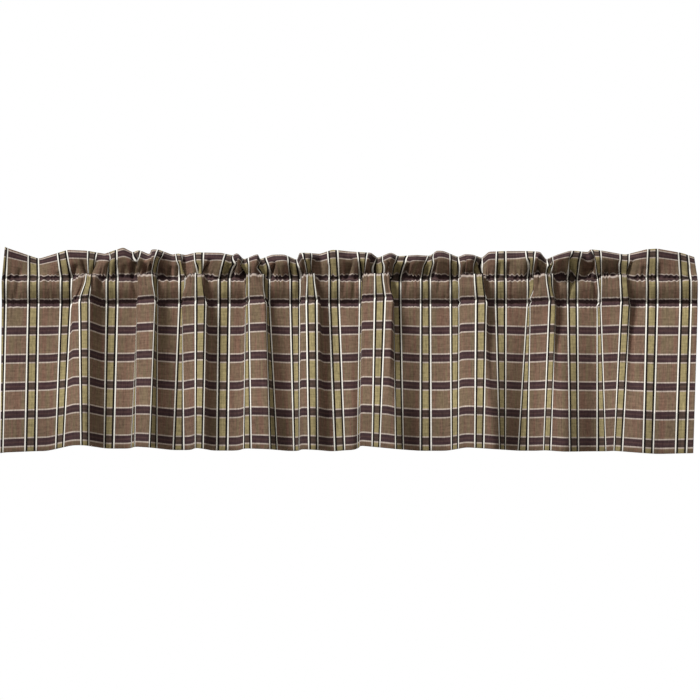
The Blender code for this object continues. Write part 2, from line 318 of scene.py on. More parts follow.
# in thicknesses of thread: how deep a stitch's ends sink, how high its middle stands over
# them, and half its thickness at its ends and how much more in the middle
STITCH_SUNK = 0.4
STITCH_ARCH = 1.1
STITCH_END = 0.35
STITCH_FULLER = 0.2

# How the tucks swell over the upper stitch line: fully where they stand out by TUCK_HELD,
# and round a place in the pocket's height, from 0 at its foot to 1 at its top
TUCK_HELD = 9 * MM
TUCK_SWELL_OUT = 4 * MM
TUCK_SWELL_UP = 9 * MM
TUCK_SWELL_PLACE = 0.88
TUCK_SWELL_REACH = 0.11
# How far the ruffle's back layer stands off its front
BACK_SWELL = 2.5 * MM

# The plaid, across: bands between two white lines, each edged in black inside, on brown
WARP_REPEAT = 64.57 * MM
WHITE_LEFT = -12.9 * MM
BAND_WIDTH = 21.4 * MM
WHITE_WIDTH = 2.35 * MM
BLACK_WIDTH = 3.7 * MM
EDGE_WIDTH = 1.3 * MM
# and down, measured from the top edge: plum bands between two pale lines
WEFT_REPEAT = 53.7 * MM
PALE_UPPER = 4.3 * MM
PLUM_WIDTH = 16.5 * MM
PLUM_MIDDLE_WIDTH = 3.2 * MM
PALE_WIDTH = 2.6 * MM
YARN = 0.8 * MM
YARN_ROUNDNESS = 0.6
STRIPE_SOFTNESS = 0.7 * MM
PLUM_MIDDLE_SOFTNESS = 1.5 * MM

# Colours, as linear light
BROWN = (0.179, 0.119, 0.081, 1.0)
BROWN_GREEN = (0.158, 0.130, 0.067, 1.0)
BROWN_RED = (0.229, 0.104, 0.075, 1.0)
OLIVE = (0.308, 0.254, 0.125, 1.0)
PLUM = (0.033, 0.015, 0.024, 1.0)
PLUM_MIDDLE = (0.063, 0.032, 0.035, 1.0)
BLACK = (0.003, 0.002, 0.002, 1.0)
WHITE = (1.0, 0.98, 0.90, 1.0)
PALE = (0.53, 0.45, 0.39, 1.0)
THREAD_DARK = (0.050, 0.030, 0.022, 1.0)
THREAD_PALE = (0.120, 0.080, 0.056, 1.0)
FLOOR = (0.82, 0.81, 0.79, 1.0)
WARM_LIGHT = (1.0, 0.92, 0.82, 1.0)

# How fully each stripe's yarns hide the others
PLUM_COVER = 0.87
PALE_COVER = 0.85
EDGE_COVER = 0.5
BLACK_COVER = 0.98
WHITE_COVER = 0.97
# How much of the brown strays to green and to red, and how far they overlap
GREEN_SHARE = 0.35
RED_SHARE = 0.30
BROWN_OVERLAP = 0.3

# How the yarns' shade strays: the width and length of a patch, and how much lighter or
# darker it gets
Stray = namedtuple("Stray", "width length force")
WARP_STRAY = Stray(1.7 * MM, 120 * MM, 0.14)
WEFT_STRAY = Stray(3.2 * MM, 26 * MM, 0.15)
SLUBS = Stray(3.4 * MM, 9 * MM, 0.15)
WARM_STRAY = Stray(9 * MM, 160 * MM, 0.06)
WASH = Stray(60 * MM, 70 * MM, 0.03)
# The white stripes stray less, by this share
WHITE_CALM = 0.75
# The painted shade between the yarns, and how much painted light lightens their tops
BASE_SHADE = 0.89
YARN_TOP_PAINTED_LIGHT = 0.16
# Cloth that lies double lets no light through, so painted shade darkens its colour by this share
DOUBLED_SHADE = 0.2

# The bake maps: the gap between the cloth's two halves in metres of cloth, the margin round
# each map as a share of it, and how much of its cell a stitch and its sides and ends fill
MAP_GAP = 10 * MM
MAP_MARGIN = 0.004
STITCH_MAP_MARGIN = 0.002
STITCH_CELL = 0.9
STITCH_SIDE_CELL = 0.9
STITCH_END_CELL = (0.2, 0.8)

# The camera looks slightly up at the valance
CAMERA_DISTANCE = 16.0
CAMERA_BELOW = math.radians(10)
CAMERA_LENS = 433.8
CAMERA_SENSOR = 36.0
CAMERA_AIM = (0.0, 0.0, -0.1146)
FLOOR_HEIGHT = -3.3
FLOOR_HALF = 2.4
LIGHT_SOFTNESS = math.radians(14)
WORLD_LIGHT = 0.23

# A corner of a line along the cloth, in metres
Corner = namedtuple("Corner", "cloth across back height")


# ---------------------------------------------------------------- the course of the cloth


def tuck_corners(left, right, share, lifted):
    """Four corners for each tuck, which stands out by a share of its full size."""
    corners = [Corner(0.0, LEFT_AT_SEAM, 0.0, 0.0)]
    for row in TUCKS:
        left_foot = (row.left_cloth - row.side_left) * MM
        right_foot = (row.right_cloth + row.side_right) * MM
        out = -row.out * share * MM
        lift = row.lift * lifted * MM
        corners += [
            Corner(left_foot, (row.left - row.run_left) * MM, 0.0, 0.0),
            Corner(row.left_cloth * MM, getattr(row, left) * MM, out * LEFT_OUT, lift),
            Corner(row.right_cloth * MM, getattr(row, right) * MM, out * RIGHT_OUT, lift),
            Corner(right_foot, (row.right + row.run_right) * MM, 0.0, 0.0),
        ]
    corners.append(Corner(CLOTH_WIDTH, RIGHT_AT_SEAM, 0.0, 0.0))
    return corners


def edge_corners(rows, end):
    """The corners of each fold of a free edge, then the right side edge."""
    corners = []
    for row in rows:
        sizes = [size * MM for size in row]
        corners += [Corner(*sizes[0:4]), Corner(*sizes[4:8]), Corner(*sizes[8:12])]
        level = getattr(row, "level", 0) * MM
        if level:
            cloth, across, back, height = corners[-1]
            corners.append(Corner(cloth + level, across + level, back, height))
    corners.append(Corner(CLOTH_WIDTH, *(size * MM for size in end)))
    return corners


def rounded_line(corners, rounding, cloth):
    """Points (across, back, height) at places in the cloth, with the corners rounded off."""
    table = np.array(corners)
    start = table[0] - (table[1] - table[0])
    end = table[-1] + (table[-1] - table[-2])
    table = np.vstack((start, table, end))
    shifts = np.linspace(-rounding, rounding, ROUNDING_STEPS)
    weights = 1.0 - np.abs(shifts) / (ROUNDING_FADE * rounding)
    weights /= weights.sum()
    line = np.zeros((len(cloth), 3))
    for shift, weight in zip(shifts, weights):
        for axis in range(3):
            line[:, axis] += weight * np.interp(cloth + shift, table[:, 0], table[:, axis + 1])
    return line


def key_lines(cloth):
    """The cloth's course at the hem, at both stitch lines and at the top edge."""
    at_upper = tuck_corners("top_left", "top_right", UPPER_TUCK_SHARE, 0.0)
    hem = rounded_line(edge_corners(HEM_FOLDS, HEM_END), HEM_ROUNDING, cloth)
    lower = rounded_line(tuck_corners("left", "right", 1.0, 1.0), TUCK_ROUNDING, cloth)
    upper = rounded_line(at_upper, TUCK_ROUNDING, cloth)
    top = rounded_line(edge_corners(RUFFLES, RUFFLE_END), RUFFLE_ROUNDING, cloth)
    lower[:, 2] -= POCKET_HEIGHT / 2
    upper[:, 2] += POCKET_HEIGHT / 2
    hem[:, 2] -= POCKET_HEIGHT / 2 + SKIRT_DROP
    top[:, 2] += POCKET_HEIGHT / 2
    return hem, lower, upper, top


def gathers(kind, cloth):
    """How far each place along a stitch line is drawn up, from 0 to 1, unevenly."""
    turn = 2.0 * math.pi * cloth / kind.pitch
    drift = sum(row.size * np.sin(turn / row.gathers + row.start) for row in GATHER_DRIFTS)
    wave = 0.5 + 0.5 * np.sin(turn + drift + kind.start)
    swing = np.sin(turn / GATHER_SWING_OVER + 2.0 * kind.start)
    return wave * (1.0 - GATHER_SWING + GATHER_SWING * swing)


def skirt_rows(hem, lower):
    """Rows from the hem up to just below the lower stitch line, closer together near it.

    The tucks open into the hem's folds soon below the stitch line.
    """
    rows = []
    places = []
    for step in range(SKIRT_ROWS):
        drop = (1.0 - step / SKIRT_ROWS) ** SKIRT_CROWDING
        row = lower + (hem - lower) * drop
        row[:, 1] = lower[:, 1] + (hem[:, 1] - lower[:, 1]) * drop**FOLDS_OPEN
        rows.append(row)
        places.append(SKIRT_CLOTH * (1.0 - drop))
    return rows, places


def pocket_rows(lower, upper, count, is_front):
    """Rows between the stitch lines, on the pocket's front or back wall."""
    rows = []
    shares = []
    for step in range(1, count):
        even = step / count
        crowded = (1.0 - math.cos(math.pi * even)) / 2
        share = POCKET_EVENLY * even + (1.0 - POCKET_EVENLY) * crowded
        from_middle = 2.0 * share - 1.0
        row = lower + (upper - lower) * share
        if is_front:
            top_heavy = 1.0 + POCKET_TOP_HEAVY * from_middle
            row[:, 1] -= POCKET_FRONT_BOW * (1.0 - from_middle**2) * top_heavy
        else:
            behind = POCKET_BACK - BACK_FULLNESS * row[:, 1]
            row[:, 1] += (behind - row[:, 1]) * (1.0 - from_middle**4)
        rows.append(row)
        shares.append(share)
    return rows, shares


def ruffle_rows(upper, top, count):
    """Rows from above the upper stitch line to the top edge, leaning back, then upright."""
    rows = []
    shares = []
    for step in range(1, count + 1):
        share = (step / count) ** RUFFLE_CROWDING
        row = upper + (top - upper) * share
        row[:, 1] = upper[:, 1] + (top[:, 1] - upper[:, 1]) * math.sin(share * math.pi / 2)
        rows.append(row)
        shares.append(share)
    return rows, shares


def outward(grid):
    """Unit directions that point out of the cloth's face."""
    up = np.gradient(grid, axis=0)
    along = np.gradient(grid, axis=1)
    out = np.cross(along, up)
    return out / np.linalg.norm(out, axis=2, keepdims=True)


def draw_up(grid, out, places, cloth):
    """The groove along each stitch line, and the small gathers above and below it."""
    for seam_place, kind in ((SKIRT_CLOTH, LOWER_GATHERS), (UPPER_SEAM, UPPER_GATHERS)):
        drawn = gathers(kind, cloth)
        for number, place in enumerate(places):
            off = place - seam_place
            near = abs(off) / kind.reach
            bulge = kind.out * drawn * near * math.exp(1.0 - near)
            groove = SEAM_DEPTH * math.exp(-((off / SEAM_REACH) ** 2))
            grid[number] += out[number] * (bulge - groove)[:, None]
            pull = -kind.pull_above if off > 0.0 else kind.pull_below
            grid[number, :, 2] += pull * (drawn - GATHER_LEVEL) * near * math.exp(1.0 - near)


def crease(grid, out, places):
    """The creases above and below the upper stitch line.

    In the pocket they go straight back, so that they don't bend the plaid's crossing lines.
    """
    for number, place in enumerate(places):
        climb = place - UPPER_SEAM
        facing = out[number].copy()
        if climb > 0.0:
            rows, force = RUFFLE_CREASES, RUFFLE_CREASE_FORCE
        else:
            rows, force = POCKET_CREASES, POCKET_CREASE_FORCE
            facing[:, 2] = 0.0
        for row in rows:
            share = abs(climb) / (row.length * CREASE_REACH * MM)
            if share >= 1.0:
                continue
            middle = (row.at_seam + row.lean * share) * MM
            widening = CREASE_NARROW + (CREASE_WIDE - CREASE_NARROW) * share
            width = row.width * CREASE_SPREAD * widening * MM
            onset = min(1.0, CREASE_AT_SEAM + CREASE_ONSET * share)
            depth = row.depth * force * MM * onset * (1.0 - share) ** CREASE_FADE
            off = np.abs(grid[number, :, 0] - middle)
            trough = np.exp(-off / width) + CREASE_NIP * np.exp(-((off / CREASE_NIP_WIDTH) ** 2))
            grid[number] -= facing * (depth * trough)[:, None]


def swell(grid, places, cloth):
    """The ruffle swells forward out of its stitch line and comes back to its top edge."""
    marks = []
    for row in RUFFLES:
        marks += [(row.from_cloth, row.crest_swell), (row.to_cloth, row.crest_swell)]
        marks.append((row.valley_cloth, row.valley_swell))
    marks = np.array(marks) * MM
    size = np.interp(cloth, marks[:, 0], marks[:, 1])
    for number, place in enumerate(places):
        share = (place - UPPER_SEAM) / RUFFLE_CLOTH
        if share > 0.0:
            grid[number, :, 1] -= size * math.sin(math.pi * share**SWELL_WIDEST)


def overhang(grid, places, upper):
    """Each tuck of the pocket swells up over the upper stitch line that holds it."""
    held = np.clip(-upper[:, 1] / TUCK_HELD, 0.0, 1.0)
    for number, place in enumerate(places):
        share = (place - SKIRT_CLOTH) / POCKET_CLOTH
        if 0.0 < share < 1.0:
            off = (share - TUCK_SWELL_PLACE) / TUCK_SWELL_REACH
            size = held * math.exp(-(off**2))
            grid[number, :, 1] -= TUCK_SWELL_OUT * size
            grid[number, :, 2] += TUCK_SWELL_UP * size


def front_grid(cloth):
    """The cloth's whole front, from the hem to the top edge."""
    hem, lower, upper, top = key_lines(cloth)
    skirt, places = skirt_rows(hem, lower)
    pocket, pocket_shares = pocket_rows(lower, upper, POCKET_ROWS, True)
    ruffle, ruffle_shares = ruffle_rows(upper, top, RUFFLE_ROWS)
    grid = np.array(skirt + [lower] + pocket + [upper] + ruffle)
    places = places + [SKIRT_CLOTH]
    places += [SKIRT_CLOTH + POCKET_CLOTH * share for share in pocket_shares]
    places += [UPPER_SEAM] + [UPPER_SEAM + RUFFLE_CLOTH * share for share in ruffle_shares]
    swell(grid, places, cloth)
    out = outward(grid)
    draw_up(grid, out, places, cloth)
    crease(grid, out, places)
    overhang(grid, places, upper)
    return grid, out, places


def layer_behind(front, out, places, place, gap):
    """A row of cloth that lies behind the front's at this place, with a gap between them."""
    number = int(np.clip(np.searchsorted(places, place), 1, len(places) - 1))
    share = (place - places[number - 1]) / (places[number] - places[number - 1])
    row = front[number - 1] + (front[number] - front[number - 1]) * share
    facing = out[number - 1] + (out[number] - out[number - 1]) * share
    return row - facing * gap


def back_grid(cloth, front, out, front_places):
    """The part turned to the back, from the top edge down to below the pocket."""
    lower, upper = key_lines(cloth)[1:3]
    rows = []
    places = []
    for step in range(BACK_RUFFLE_ROWS):
        share = (1.0 - step / BACK_RUFFLE_ROWS) ** BACK_CROWDING
        gap = LAYER_GAP + BACK_SWELL * math.sin(math.pi * share)
        place = UPPER_SEAM + RUFFLE_CLOTH * share
        rows.append(layer_behind(front, out, front_places, place, gap))
        places.append(TOP_EDGE + RUFFLE_CLOTH * (1.0 - share))
    rows.append(layer_behind(front, out, front_places, UPPER_SEAM, LAYER_GAP))
    seam = TOP_EDGE + RUFFLE_CLOTH
    places.append(seam)
    pocket, pocket_shares = pocket_rows(lower, upper, BACK_POCKET_ROWS, False)
    for row, share in zip(pocket[::-1], pocket_shares[::-1]):
        row[:, 1] += LAYER_GAP + SEAM_DEPTH
        rows.append(row)
        places.append(seam + BACK_POCKET_CLOTH * (1.0 - share))
    for under in (0.0, SEAM_ALLOWANCE):
        rows.append(layer_behind(front, out, front_places, SKIRT_CLOTH - under, LAYER_GAP))
        places.append(seam + BACK_POCKET_CLOTH + under)
    return np.array(rows), places


def panel_grid():
    """All rows of the panel and their places in the cloth, its hem and its top turned back."""
    cloth = np.linspace(0.0, CLOTH_WIDTH, COLUMNS)
    front, base_out, front_places = front_grid(cloth)
    back, back_places = back_grid(cloth, front, base_out, front_places)
    front_out = outward(front)
    back_out = outward(back)

    hem_rows = []
    hem_places = []
    for step in range(HEM_ROWS, 0, -1):
        height = HEM * step / HEM_ROWS
        hem_rows.append(layer_behind(front, front_out, front_places, height, LAYER_GAP))
        hem_places.append(-height)
    down = front[0] - front[1]
    down /= np.linalg.norm(down, axis=1, keepdims=True)
    hem_rows.append(front[0] + (down - front_out[0]) * LAYER_GAP / 2)
    hem_places.append(0.0)
    rise = front[-1] - front[-2]
    rise /= np.linalg.norm(rise, axis=1, keepdims=True)
    fold = (front[-1] + back[0]) / 2 + rise * LAYER_GAP / 2

    grid = np.concatenate((np.array(hem_rows), front, fold[None], back))
    hem_out = np.repeat(front_out[:1], len(hem_rows), axis=0)
    out = np.concatenate((hem_out, front_out, front_out[-1:], back_out))
    places = hem_places + [EDGE_TURN] + front_places[1:] + [TOP_EDGE + EDGE_TURN]
    places += [place + 2 * EDGE_TURN for place in back_places]
    return cloth, grid, out, np.array(places)


def with_side_hems(cloth, grid, out):
    """The same grid with both side edges turned to the back of the cloth."""
    wide_cloth = [cloth]
    wide_grid = [grid]
    for side in (-1, 1):
        edge = 0 if side < 0 else len(cloth) - 1
        outer = grid[:, edge] - grid[:, edge - side]
        outer /= np.linalg.norm(outer, axis=1, keepdims=True)
        columns = [grid[:, edge] + (outer - out[:, edge]) * SIDE_GAP / 2]
        places = [SIDE_TURN]
        for step in range(1, round(SIDE_HEM / (cloth[1] - cloth[0])) + 1):
            column = edge - side * step
            columns.append(grid[:, column] - out[:, column] * SIDE_GAP)
            places.append(SIDE_TURN + abs(cloth[column] - cloth[edge]))
        columns = np.stack(columns, axis=1)
        places = np.array(places)
        if side < 0:
            wide_grid.insert(0, columns[:, ::-1])
            wide_cloth.insert(0, -places[::-1])
        else:
            wide_grid.append(columns)
            wide_cloth.append(CLOTH_WIDTH + places)
    return np.concatenate(wide_cloth), np.concatenate(wide_grid, axis=1)


# ---------------------------------------------------------------- meshes


def mesh_of_grid(name, grid, across, down):
    """A mesh of a grid of points, with its places in the flat cloth as a map in metres.

    The bake map is the same flat cloth, cut down its middle, with its right half over its left.
    """
    rows, columns = grid.shape[:2]
    corner = np.arange(rows * columns).reshape(rows, columns)
    faces = np.stack(
        (corner[:-1, :-1], corner[:-1, 1:], corner[1:, 1:], corner[1:, :-1]), axis=-1
    ).reshape(-1, 4)
    data = bpy.data.meshes.new(name)
    data.vertices.add(rows * columns)
    data.vertices.foreach_set("co", grid.reshape(-1))
    data.loops.add(faces.size)
    data.loops.foreach_set("vertex_index", faces.reshape(-1))
    data.polygons.add(len(faces))
    data.polygons.foreach_set("loop_start", np.arange(0, faces.size, 4))
    data.update(calc_edges=True)
    data.shade_smooth()

    flat = np.stack(np.meshgrid(across, down), axis=-1).reshape(-1, 2)
    in_metres = data.uv_layers.new(name="cloth")
    in_metres.data.foreach_set("uv", flat[faces.reshape(-1)].reshape(-1))

    half = columns // 2
    in_right_half = np.repeat(np.arange(len(faces)) % (columns - 1) >= half, 4)
    placed = flat[faces.reshape(-1)] - (across[0], down[0])
    left_width = across[half] - across[0]
    right_width = across[-1] - across[half]
    height = down[-1] - down[0]
    placed[in_right_half, 0] -= left_width
    placed[in_right_half, 1] += height + MAP_GAP
    size = max(left_width, right_width, 2 * height + MAP_GAP)
    placed = MAP_MARGIN + placed * ((1.0 - 2 * MAP_MARGIN) / size)
    bake = data.uv_layers.new(name="OFBake")
    bake.data.foreach_set("uv", placed.reshape(-1))
    data.uv_layers.active = in_metres
    in_metres.active_render = True
    return data


def add_piece(name, data, material):
    """Puts a piece in the scene, on the panel's body and in its CAD node's place."""
    piece = bpy.data.objects.new(name, data)
    bpy.context.scene.collection.objects.link(piece)
    data.materials.append(material)
    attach(piece, "root")
    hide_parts("valance_cloth")
    return piece


# ---------------------------------------------------------------- finishes


def add_node(tree, kind, inputs=None, **settings):
    """A node with its settings, and its inputs set or linked."""
    node = tree.nodes.new(kind)
    for name, value in settings.items():
        setattr(node, name, value)
    for name, value in (inputs or {}).items():
        if isinstance(value, bpy.types.NodeSocket):
            tree.links.new(value, node.inputs[name])
        else:
            node.inputs[name].default_value = value
    return node


def calc(tree, operation, first, second=0.0, third=0.0):
    """The output of one sum."""
    node = add_node(tree, "ShaderNodeMath", {0: first, 1: second, 2: third}, operation=operation)
    return node.outputs[0]


def mix(tree, share, first, second):
    """The first colour, with the second over it by a share."""
    inputs = {0: share, 6: first, 7: second}
    return add_node(tree, "ShaderNodeMix", inputs, data_type="RGBA").outputs[2]


def new_material(name):
    """A new material, its node tree and its shader."""
    material = bpy.data.materials.new(name)
    material.use_nodes = True
    return material, material.node_tree, material.node_tree.nodes["Principled BSDF"]


def new_group(name, inputs, outputs):
    """An empty shader group with named number inputs and outputs."""
    group = bpy.data.node_groups.new(name, "ShaderNodeTree")
    for label in inputs:
        group.interface.new_socket(label, in_out="INPUT", socket_type="NodeSocketFloat")
    for label in outputs:
        group.interface.new_socket(label, in_out="OUTPUT", socket_type="NodeSocketFloat")
    inside = group.nodes.new("NodeGroupInput")
    outside = group.nodes.new("NodeGroupOutput")
    return group, inside.outputs, outside.inputs


def stripe_group():
    """Stripe: 1 on a woven stripe that repeats, 0 off it, with a soft edge."""
    inputs = ["Place", "Repeat", "Middle", "Width", "Edge"]
    group, given, result = new_group("Stripe", inputs, ["Cover"])
    off = calc(group, "SUBTRACT", given["Place"], given["Middle"])
    turns = calc(group, "ROUND", calc(group, "DIVIDE", off, given["Repeat"]))
    off = calc(group, "SUBTRACT", off, calc(group, "MULTIPLY", turns, given["Repeat"]))
    half_width = calc(group, "MULTIPLY", given["Width"], 0.5)
    inside = calc(group, "SUBTRACT", half_width, calc(group, "ABSOLUTE", off))
    cover = add_node(
        group,
        "ShaderNodeMath",
        {0: calc(group, "DIVIDE", inside, given["Edge"]), 1: 0.5},
        operation="ADD",
        use_clamp=True,
    )
    group.links.new(cover.outputs[0], result["Cover"])
    return group


def weave_group():
    """Plain weave: the height of the yarns, 0 to 1, where they cross over each other."""
    group, given, result = new_group("Plain weave", ["Across", "Down", "Yarn"], ["Height"])
    across = calc(group, "MULTIPLY", calc(group, "DIVIDE", given["Across"], given["Yarn"]), math.pi)
    down = calc(group, "MULTIPLY", calc(group, "DIVIDE", given["Down"], given["Yarn"]), math.pi)
    over = calc(group, "MULTIPLY", calc(group, "SINE", across), calc(group, "SINE", down))
    height = calc(group, "POWER", calc(group, "ABSOLUTE", over), YARN_ROUNDNESS)
    group.links.new(height, result["Height"])
    return group


def yarn_group():
    """Uneven yarn: how the shade strays, -1 to 1, in patches of some width and length."""
    inputs = ["Across", "Along", "Width", "Length"]
    group, given, result = new_group("Uneven yarn", inputs, ["Stray"])
    place = add_node(
        group,
        "ShaderNodeCombineXYZ",
        {
            "X": calc(group, "DIVIDE", given["Across"], given["Width"]),
            "Y": calc(group, "DIVIDE", given["Along"], given["Length"]),
        },
    )
    noise = add_node(
        group,
        "ShaderNodeTexNoise",
        {"Vector": place.outputs[0], "Scale": 1.0, "Detail": 2.0, "Roughness": 0.6},
        noise_dimensions="2D",
    )
    from_range = {"Value": noise.outputs["Fac"], "From Min": 0.3, "From Max": 0.7}
    to_range = {"To Min": -1.0, "To Max": 1.0}
    stray = add_node(group, "ShaderNodeMapRange", from_range | to_range)
    group.links.new(stray.outputs[0], result["Stray"])
    return group


def plaid_cotton():
    """Yarn-dyed plain weave in the plaid's colours."""
    material, tree, shader = new_material("plaid cotton")
    stripe = stripe_group()
    weave = weave_group()
    yarn = yarn_group()

    flat = add_node(tree, "ShaderNodeUVMap", uv_map="cloth")
    place = add_node(tree, "ShaderNodeSeparateXYZ", {0: flat.outputs[0]})
    across = place.outputs["X"]
    up = place.outputs["Y"]
    down = calc(tree, "SUBTRACT", TOP_EDGE, up)

    def stripe_across(middle, width):
        inputs = {"Place": across, "Repeat": WARP_REPEAT, "Middle": middle, "Width": width}
        inputs["Edge"] = STRIPE_SOFTNESS
        return add_node(tree, "ShaderNodeGroup", inputs, node_tree=stripe).outputs["Cover"]

    def stripe_down(middle, width, softness=STRIPE_SOFTNESS):
        inputs = {"Place": down, "Repeat": WEFT_REPEAT, "Middle": middle, "Width": width}
        inputs["Edge"] = softness
        return add_node(tree, "ShaderNodeGroup", inputs, node_tree=stripe).outputs["Cover"]

    def stray(kind, first, second):
        inputs = {"Across": first, "Along": second, "Width": kind.width, "Length": kind.length}
        return add_node(tree, "ShaderNodeGroup", inputs, node_tree=yarn).outputs["Stray"]

    def scaled(mask, share):
        return calc(tree, "MULTIPLY", mask, share)

    def plus(mask, share, rest):
        return calc(tree, "MULTIPLY_ADD", mask, share, rest)

    # Where each stripe lies
    white_left = stripe_across(WHITE_LEFT, WHITE_WIDTH)
    white_right = stripe_across(WHITE_LEFT + BAND_WIDTH, WHITE_WIDTH)
    white = calc(tree, "MAXIMUM", white_left, white_right)
    band_middle = WHITE_LEFT + BAND_WIDTH / 2
    band = stripe_across(band_middle, BAND_WIDTH)
    edged_band = stripe_across(band_middle, BAND_WIDTH + WHITE_WIDTH + 2 * EDGE_WIDTH)
    olive = stripe_across(band_middle, BAND_WIDTH - WHITE_WIDTH - 2 * BLACK_WIDTH)
    black = calc(tree, "SUBTRACT", calc(tree, "SUBTRACT", band, olive), white)
    black = calc(tree, "MAXIMUM", black, 0.0)
    edge = calc(tree, "MULTIPLY", calc(tree, "SUBTRACT", 1.0, band), edged_band)
    pale_upper = stripe_down(PALE_UPPER, PALE_WIDTH)
    pale_lower = stripe_down(PALE_UPPER + PLUM_WIDTH, PALE_WIDTH)
    pale = calc(tree, "MAXIMUM", pale_upper, pale_lower)
    plum_at = PALE_UPPER + PLUM_WIDTH / 2
    plum = stripe_down(plum_at, PLUM_WIDTH)
    plum_middle = stripe_down(plum_at, PLUM_MIDDLE_WIDTH, PLUM_MIDDLE_SOFTNESS)

    # The colours, from the ground up
    warm_stray = stray(WARM_STRAY, across, up)
    green = scaled(calc(tree, "ADD", warm_stray, BROWN_OVERLAP), GREEN_SHARE)
    red = scaled(calc(tree, "SUBTRACT", BROWN_OVERLAP, warm_stray), RED_SHARE)
    colour = mix(tree, green, BROWN, BROWN_GREEN)
    colour = mix(tree, red, colour, BROWN_RED)
    colour = mix(tree, olive, colour, OLIVE)
    plum_colour = mix(tree, plum_middle, PLUM, PLUM_MIDDLE)
    colour = mix(tree, scaled(plum, PLUM_COVER), colour, plum_colour)
    colour = mix(tree, scaled(pale, PALE_COVER), colour, PALE)
    colour = mix(tree, scaled(edge, EDGE_COVER), colour, BLACK)
    colour = mix(tree, scaled(black, BLACK_COVER), colour, BLACK)
    colour = mix(tree, scaled(white, WHITE_COVER), colour, WHITE)

    # How light they are: uneven yarns, painted light on the weave's yarn tops, and painted shade
    # where the cloth lies double
    warp_stray = stray(WARP_STRAY, across, up)
    threads = {"Across": across, "Down": up, "Yarn": YARN}
    yarn_height = add_node(tree, "ShaderNodeGroup", threads, node_tree=weave).outputs["Height"]
    uneven = scaled(warp_stray, WARP_STRAY.force)
    uneven = plus(stray(WEFT_STRAY, up, across), WEFT_STRAY.force, uneven)
    uneven = plus(stray(SLUBS, across, up), SLUBS.force, uneven)
    shade = plus(uneven, plus(white, -WHITE_CALM, 1.0), BASE_SHADE)
    shade = plus(warm_stray, WARM_STRAY.force, shade)
    shade = plus(stray(WASH, across, up), WASH.force, shade)
    # Painted light: the yarns' tops are painted lighter than the shade between them
    shade = plus(yarn_height, YARN_TOP_PAINTED_LIGHT, shade)
    # Painted shade: the hem and the heading, where the cloth lies double, are darkened in colour
    in_hem = calc(tree, "LESS_THAN", up, HEM)
    in_heading = calc(tree, "GREATER_THAN", up, SKIRT_CLOTH)
    doubled = calc(tree, "MAXIMUM", in_hem, in_heading)
    shade = calc(tree, "MULTIPLY", shade, plus(doubled, -DOUBLED_SHADE, 1.0))
    grey = add_node(tree, "ShaderNodeCombineXYZ", {0: shade, 1: shade, 2: shade}).outputs[0]
    shaded = {0: colour, 1: grey}
    tinted = add_node(tree, "ShaderNodeVectorMath", shaded, operation="MULTIPLY")
    tree.links.new(tinted.outputs[0], shader.inputs["Base Color"])

    tree.links.new(plus(yarn_height, -0.06, 0.92), shader.inputs["Roughness"])
    relief = {"Height": plus(warp_stray, 0.35, yarn_height), "Strength": 0.35, "Distance": 0.15 * MM}
    bump = add_node(tree, "ShaderNodeBump", relief)
    tree.links.new(bump.outputs[0], shader.inputs["Normal"])
    shader.inputs["Sheen Weight"].default_value = 0.03
    shader.inputs["Sheen Roughness"].default_value = 0.5
    shader.inputs["Specular IOR Level"].default_value = 0.12
    return material


def sewing_thread():
    """Brown twisted cotton thread."""
    material, tree, shader = new_material("sewing thread")
    where = add_node(tree, "ShaderNodeTexCoord").outputs["Object"]
    twist = add_node(
        tree,
        "ShaderNodeTexWave",
        {"Vector": where, "Scale": 900.0, "Distortion": 1.5, "Detail": 1.0},
        bands_direction="DIAGONAL",
    ).outputs["Fac"]
    tree.links.new(mix(tree, twist, THREAD_DARK, THREAD_PALE), shader.inputs["Base Color"])
    relief = {"Height": twist, "Strength": 0.5, "Distance": 0.1 * MM}
    bump = add_node(tree, "ShaderNodeBump", relief)
    tree.links.new(bump.outputs[0], shader.inputs["Normal"])
    shader.inputs["Roughness"].default_value = 0.7
    return material


def floor_paint():
    """Plain pale floor."""
    material, _, shader = new_material("studio floor")
    shader.inputs["Base Color"].default_value = FLOOR
    shader.inputs["Roughness"].default_value = 0.8
    return material


# ---------------------------------------------------------------- the pieces


def add_panel(cloth, grid, out, places):
    """The whole panel as one sheet."""
    wide_cloth, wide_grid = with_side_hems(cloth, grid, out)
    data = mesh_of_grid("valance_panel", wide_grid, wide_cloth, places)
    panel = add_piece("valance_panel", data, plaid_cotton())


def along_row(row, cloth, at):
    """A row's points or directions at other places in the cloth."""
    return np.stack([np.interp(at, cloth, row[:, axis]) for axis in range(3)], axis=1)


def stitches_along(row, facing, cloth):
    """Points of all stitches along one row of the cloth, in rings from end to end of each."""
    starts = np.arange(SIDE_HEM / 2, CLOTH_WIDTH - SIDE_HEM / 2, STITCH_PITCH)
    rings = []
    for share in np.linspace(0.0, 1.0, STITCH_RINGS):
        at = starts + share * STITCH_LENGTH
        middle = along_row(row, cloth, at)
        normal = along_row(facing, cloth, at)
        normal /= np.linalg.norm(normal, axis=1, keepdims=True)
        side = np.cross(normal, along_row(row, cloth, at + MM) - middle)
        side /= np.linalg.norm(side, axis=1, keepdims=True)
        arch = math.sin(math.pi * share)
        middle += normal * (THREAD * (STITCH_ARCH * arch - STITCH_SUNK))
        side *= THREAD * (STITCH_END + STITCH_FULLER * arch)
        normal *= THREAD * (STITCH_END + STITCH_FULLER * arch)
        ring = (middle - side, middle + normal, middle + side, middle - normal)
        rings.append(np.stack(ring, axis=1))
    return np.stack(rings, axis=1)


def map_patch(left, bottom, width, height):
    """The corners of one face's patch in a map."""
    right = left + width
    top = bottom + height
    return ((left, bottom), (right, bottom), (right, top), (left, top))


